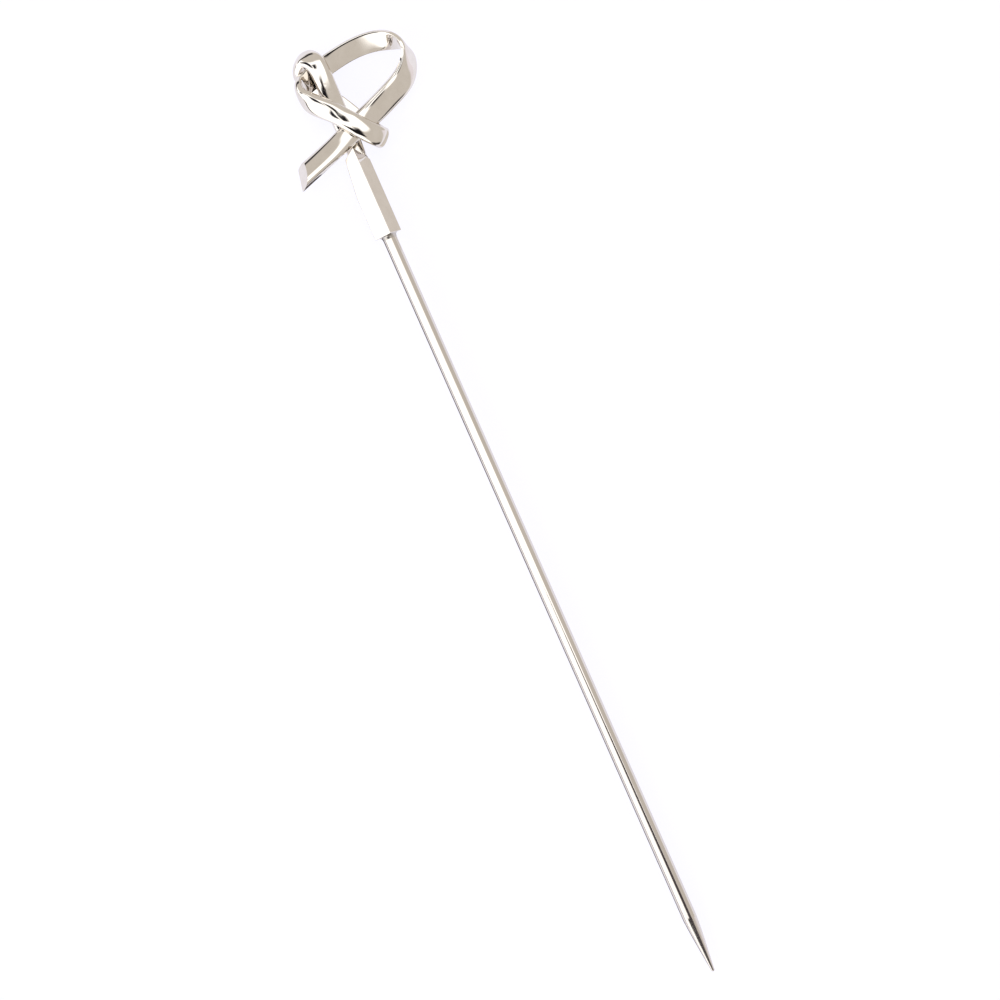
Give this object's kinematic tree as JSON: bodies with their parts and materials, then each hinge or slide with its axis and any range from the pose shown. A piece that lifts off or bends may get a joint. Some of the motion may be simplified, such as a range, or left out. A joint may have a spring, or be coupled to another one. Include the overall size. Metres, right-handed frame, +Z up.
{
  "type": "knotted cocktail pick",
  "caption": "Polished metal skewer with a pointed wire shank, a square socket and a flat strip head tied in a looped knot with a slant-cut tail.",
  "frame": {"origin": "under the centre of the pick's outline, on the surface it lies on", "axes": "+X from the knot to the point, +Z up from the surface it lies on, towards the knot's front; +Y across, towards the side the loop leans to"},
  "size_m": [0.1104, 0.0174, 0.0045],
  "materials": {
    "knot_metal": "mirror polished, faint casting pits",
    "socket_metal": "mirror polished",
    "wire_metal": "polished along its length",
    "solder": "satin"
  },
  "bodies": {
    "root": {"knot_strip": "knot_metal", "ferrule": "socket_metal", "pin": "wire_metal", "upper_solder": "solder", "lower_solder": "solder"}
  },
  "joints": []
}
